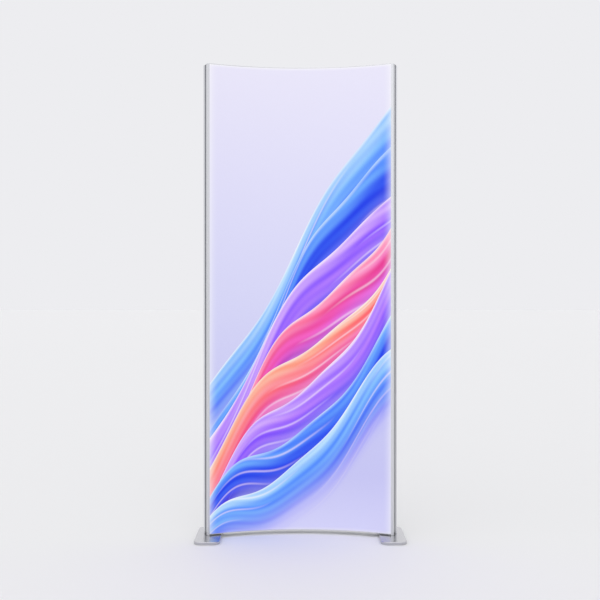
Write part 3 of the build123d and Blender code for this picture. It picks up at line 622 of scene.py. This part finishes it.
def gleaming(tree, x, across, slant, phase, shaded):
    """Thin pale ridges on the folds, which come and go along the veil."""
    thread = node(tree, MATH, LARGER, in_0=wave(tree, across, GLEAM_TURN, slant), in_1=0.0)
    ridge = node(tree, MATH, {"operation": "POWER"}, in_0=thread, in_1=GLEAM_SHARPNESS)
    swell_slant = node(tree, MATH, TIMES_PLUS, in_0=x, in_1=SWELL_SLANT, in_2=phase * 2)
    swell = node(tree, MATH, LARGER, in_0=wave(tree, across, SWELL_TURN, swell_slant), in_1=0.0)
    strength = node(tree, MATH, TIMES, in_0=swell, in_1=GLEAM_STRENGTH)
    gleam = node(tree, MATH, TIMES, in_0=ridge, in_1=strength)
    return node(tree, "ShaderNodeMix", {"data_type": "RGBA", "blend_type": "SCREEN"}, in_0=gleam,
                in_6=shaded, in_7=colour(GLEAM_TINT)).outputs[2]


# %% One veil
CREST_BLUR = 1.5 * MM         # the printed crest is crisp, but never sharper than the knit
RIPPLE_PITCH, RIPPLE_PHASE, RIPPLE_SWELL = 2.3, 1.7, 0.22     # times those of the veil's wave
FADE_START = 0.35             # times the veil's own fade
SMOOTH = {"interpolation_type": "SMOOTHSTEP"}


def veil(tree, x, y, under, shape):
    """Lays one wave over what is under it and returns the picture so far."""
    height, slope, swell, wavelength, phase, depth, widening, fade, stops = shape
    swing = wave(tree, x, math.tau / wavelength, phase)
    ripple = wave(tree, x, math.tau / wavelength * RIPPLE_PITCH, phase * RIPPLE_PHASE)
    rise = node(tree, MATH, TIMES_PLUS, in_0=x, in_1=slope, in_2=height)
    swung = node(tree, MATH, TIMES_PLUS, in_0=swing, in_1=swell, in_2=rise)
    crest = node(tree, MATH, TIMES_PLUS, in_0=ripple, in_1=swell * RIPPLE_SWELL, in_2=swung)
    below = node(tree, MATH, {"operation": "SUBTRACT"}, in_0=crest, in_1=y)
    span = node(tree, MATH, TIMES_PLUS, in_0=x, in_1=widening, in_2=depth)
    share = node(tree, MATH, {"operation": "DIVIDE"}, in_0=below, in_1=span)
    dye = node(tree, "ShaderNodeValToRGB", in_0=share)
    lay_colours(dye.color_ramp, stops, "EASE")
    paint = folded(tree, x, share, phase, dye)
    edge = node(tree, "ShaderNodeMapRange", SMOOTH, in_0=below, in_2=CREST_BLUR)
    fading = node(tree, "ShaderNodeMapRange", SMOOTH, in_0=share, in_1=fade * FADE_START,
                  in_2=1.0, in_3=1.0, in_4=0.0)
    cover = node(tree, MATH, TIMES, in_0=edge, in_1=fading)
    return node(tree, "ShaderNodeMix", COLOURS, in_0=cover, in_6=under,
                in_7=paint).outputs[2]


# %% [markdown]
# ## Lit cloth
# The cloth is a knitted polyester with the picture dyed into it and a light behind it. It could
# be lit by real lamps inside the box, which renders slowly and with noise, so the shader does it:
# two thirds of what the eye gets is light that comes through, and the rest is light that falls on
# it. The picture is therefore used twice, in the emission and, darker, in the base colour. The
# knit is matt, and its small loops break up what little shine it has.

# %% The light and the knit
GLOW = 0.68                   # share of the picture's brightness that comes from inside
EDGE_LIGHT = 0.45             # how far the cloth's edge goes towards white
EDGE_LIGHT_REACH = 40 * MM
KNIT = 0.9 * MM               # the real loops are about 0.4 mm, too fine to show, so drawn wider
KNIT_RELIEF = 0.08 * MM


def knit_bump(tree, place, strength):
    """The relief of a fine warp knit: small loops in columns."""
    loops = node(tree, "ShaderNodeMapping", in_0=place,
                 Scale=(math.tau / KNIT, math.tau / KNIT, 1))
    parts = node(tree, "ShaderNodeSeparateXYZ", in_0=loops)
    weave = node(tree, MATH, TIMES, in_0=wave(tree, parts.outputs[0], 1.0, 0.0),
                 in_1=wave(tree, parts.outputs[1], 1.0, 0.0))
    return node(tree, "ShaderNodeBump", Strength=strength, Distance=KNIT_RELIEF, Height=weave)


def lit_edges(tree, x, picture):
    """Brightens the cloth beside the uprights, whose pale inner walls throw light back."""
    half_cloth = front_cut[0] / 2
    off_middle = node(tree, MATH, {"operation": "ABSOLUTE"}, in_0=x)
    nearness = node(tree, "ShaderNodeMapRange", in_0=off_middle,
                    in_1=half_cloth - EDGE_LIGHT_REACH, in_2=half_cloth)
    squared = node(tree, MATH, TIMES, in_0=nearness, in_1=nearness)
    strength = node(tree, MATH, TIMES, in_0=squared, in_1=EDGE_LIGHT)
    return node(tree, "ShaderNodeMix", COLOURS, in_0=strength, in_6=picture,
                in_7=colour("#FFFFFF")).outputs[2]


print("knit drawn", round(KNIT / MM, 1), "mm wide, glow", GLOW)


# %% Printed cloth, lit from inside
def printed_cloth():
    """Sublimation-printed warp knit: matt, with the light coming through its picture."""
    material, tree, shader = new_material("printed_knit_lit_from_inside")
    place = node(tree, "ShaderNodeUVMap", {"uv_map": "cloth"})
    parts = node(tree, "ShaderNodeSeparateXYZ", in_0=place)
    x, y = parts.outputs[0], parts.outputs[1]
    up = node(tree, MATH, {"operation": "DIVIDE"}, in_0=y, in_1=panel_top - panel_bottom)
    ground = node(tree, "ShaderNodeValToRGB", in_0=up)
    lay_colours(ground.color_ramp, GROUND, "LINEAR")
    picture = ground.outputs[0]
    for shape in VEILS:
        picture = veil(tree, x, y, picture, shape)
    picture = lit_edges(tree, x, picture)
    dyed = node(tree, "ShaderNodeMix", {"data_type": "RGBA", "blend_type": "MULTIPLY"}, in_0=1.0,
                in_6=picture, in_7=(1 - GLOW,) * 3 + (1.0,))
    tree.links.new(dyed.outputs[2], shader.inputs["Base Color"])
    tree.links.new(picture, shader.inputs["Emission Color"])
    tree.links.new(knit_bump(tree, place, 0.15).outputs[0], shader.inputs["Normal"])
    shader.inputs["Emission Strength"].default_value = GLOW
    shader.inputs["Roughness"].default_value = 0.85
    shader.inputs["Specular IOR Level"].default_value = 0.2
    return material


front_sheet.data.materials.append(printed_cloth())
print("nodes in the printed cloth:", len(front_sheet.active_material.node_tree.nodes))


# %% Plain cloth for the back
def backing_cloth():
    """The same knit undyed, with a blocking coat on its inner side: pale, matt, a little fuzzy."""
    material, tree, shader = new_material("plain_backing_knit")
    place = node(tree, "ShaderNodeUVMap", {"uv_map": "cloth"})
    cloud = node(tree, "ShaderNodeTexNoise", in_0=place, Scale=9.0, Detail=3.0)
    tone = node(tree, "ShaderNodeMix", COLOURS, in_0=cloud, in_6=colour("#E6E6E9"),
                in_7=colour("#DFDFE3"))
    tree.links.new(tone.outputs[2], shader.inputs["Base Color"])
    tree.links.new(knit_bump(tree, place, 0.3).outputs[0], shader.inputs["Normal"])
    shader.inputs["Roughness"].default_value = 0.9
    shader.inputs["Sheen Weight"].default_value = 0.15
    return material


rear_sheet.data.materials.append(backing_cloth())
print("rear cloth:", rear_sheet.active_material.name)

# %% [markdown]
# ## The pull tab
# A stretched fabric is taken off by a short tab of woven tape, sewn on at a lower corner. It could
# be a thin box, but a tape bends, so it is a small grid that starts at the fabric's edge, lies up
# along the bow and lifts a little towards its free end. It is on the rear fabric, where it can't
# be seen from the front.

# %% Pull tab on the rear fabric
TAB_WIDTH = 14 * MM
TAB_LENGTH = 34 * MM
TAB_LIFT = 2.6 * MM           # of its free end, off the fabric
TAB_CURL = 1.6                # power of the lift: more than 1 keeps the sewn end down
TAB_CLEAR = 0.1 * MM          # off the fabric at the sewn end
TAB_THICKNESS = 0.5 * MM
TAB_ARC = 0.335               # metres along the bow from its middle
TAB_TAPER = 0.35              # share of the width lost at the very end
TAB_TAPER_FROM = 0.86         # share of the length where the taper starts

bpy.ops.mesh.primitive_grid_add(x_subdivisions=6, y_subdivisions=18, size=2.0,
                                location=(0, 0, 0))
tab = bpy.context.object
tab.name = "pull_tab"
tab_foot = panel_bottom + RAIL_LIP + EDGE_GAP + ROLL_RADIUS
for v in tab.data.vertices:
    share = (v.co.y + 1) / 2
    tapered = 1 - TAB_TAPER * max(0.0, share - TAB_TAPER_FROM) / (1 - TAB_TAPER_FROM)
    angle = (TAB_ARC + v.co.x * TAB_WIDTH / 2 * tapered) / rear_radius
    out = rear_radius + TAB_CLEAR + TAB_LIFT * share ** TAB_CURL
    v.co = (out * math.sin(angle), axis_y + out * math.cos(angle), tab_foot + share * TAB_LENGTH)
face_outwards(tab, 1)
thicken(tab, TAB_THICKNESS, 1.0)
# Woven polyester tape: white and matt, with a grain as coarse as its threads.
tab.data.materials.append(plain_finish("woven_polyester_tape", ("#F1F1F2", "#DEDEE0"), 0.85, 0.7))
print("tab from", round(tab_foot / MM), "to", round((tab_foot + TAB_LENGTH) / MM),
      "mm above the floor")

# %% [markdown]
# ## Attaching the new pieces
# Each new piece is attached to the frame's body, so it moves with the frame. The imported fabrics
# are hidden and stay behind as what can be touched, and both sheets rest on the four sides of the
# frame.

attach(tab, "frame")

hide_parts("front_fabric")
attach(front_sheet, "frame")

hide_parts("rear_fabric")
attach(rear_sheet, "frame")
print("declared", front_sheet.name, "and", rear_sheet.name, "with", tab.name)

# %% [markdown]
# ## Floor and light
# A plain pale floor and a soft, even light let the object's own colours show as they are written.
# Area lamps close to the object would do it too, but they burn out the lips of the frame and fade
# across the floor. So the world gives most of the light, and wide, weak suns from the upper left
# front, the right and the back give the metal its shape.

# %% Floor
FLOOR_SIZE = 120.0            # metres, so that its edge meets the backdrop far behind

bpy.ops.mesh.primitive_plane_add(size=FLOOR_SIZE, location=(0, 0, 0))
floor = bpy.context.object
floor.name = "studio_floor"
floor_material, _, floor_shader = new_material("painted_studio_floor")
floor_shader.inputs["Base Color"].default_value = colour("#EFEFF1")
floor_shader.inputs["Roughness"].default_value = 0.6
floor_shader.inputs["Specular IOR Level"].default_value = 0.3
floor.data.materials.append(floor_material)
print("floor", FLOOR_SIZE, "m")

# %% World
# The object is lit by a dimmer white than the one that the camera, mirrors and lenses see.
WORLD_LIGHT = 0.70

world = bpy.data.worlds.new("studio_world")
bpy.context.scene.world = world
world.use_nodes = True
world_tree = world.node_tree
world_tree.nodes.clear()
rays = node(world_tree, "ShaderNodeLightPath")
mirrored = node(world_tree, MATH, LARGER, in_0=rays.outputs["Is Glossy Ray"],
                in_1=rays.outputs["Is Transmission Ray"])
seen = node(world_tree, MATH, LARGER, in_0=rays.outputs["Is Camera Ray"], in_1=mirrored)
light = node(world_tree, "ShaderNodeBackground", Color=colour("#FFFFFF"), Strength=WORLD_LIGHT)
backdrop = node(world_tree, "ShaderNodeBackground", Color=colour("#EDEDF0"), Strength=1.0)
either = node(world_tree, "ShaderNodeMixShader", in_0=seen, in_1=light, in_2=backdrop)
node(world_tree, "ShaderNodeOutputWorld", in_0=either)
print("world light", WORLD_LIGHT)

# %% Lamps
# Name, turn round the object from the front and tilt from overhead in degrees, strength, and the
# sun's width in degrees: the wider it is, the softer are its shadows and highlights.
SUNS = [
    ("key_light", -38, 48, 0.75, 100),
    ("fill_light", 50, 55, 0.30, 110),
    ("back_light", 165, 50, 0.25, 110),
]

for name, turn, tilt, strength, width in SUNS:
    bpy.ops.object.light_add(type="SUN", location=(0, 0, 3))
    lamp = bpy.context.object
    lamp.name = name
    lamp.data.energy = strength
    lamp.data.angle = math.radians(width)
    lamp.rotation_euler = (math.radians(tilt), 0, math.radians(turn))

bpy.context.scene.view_settings.view_transform = "Standard"
print("suns:", [name for name, *_ in SUNS])
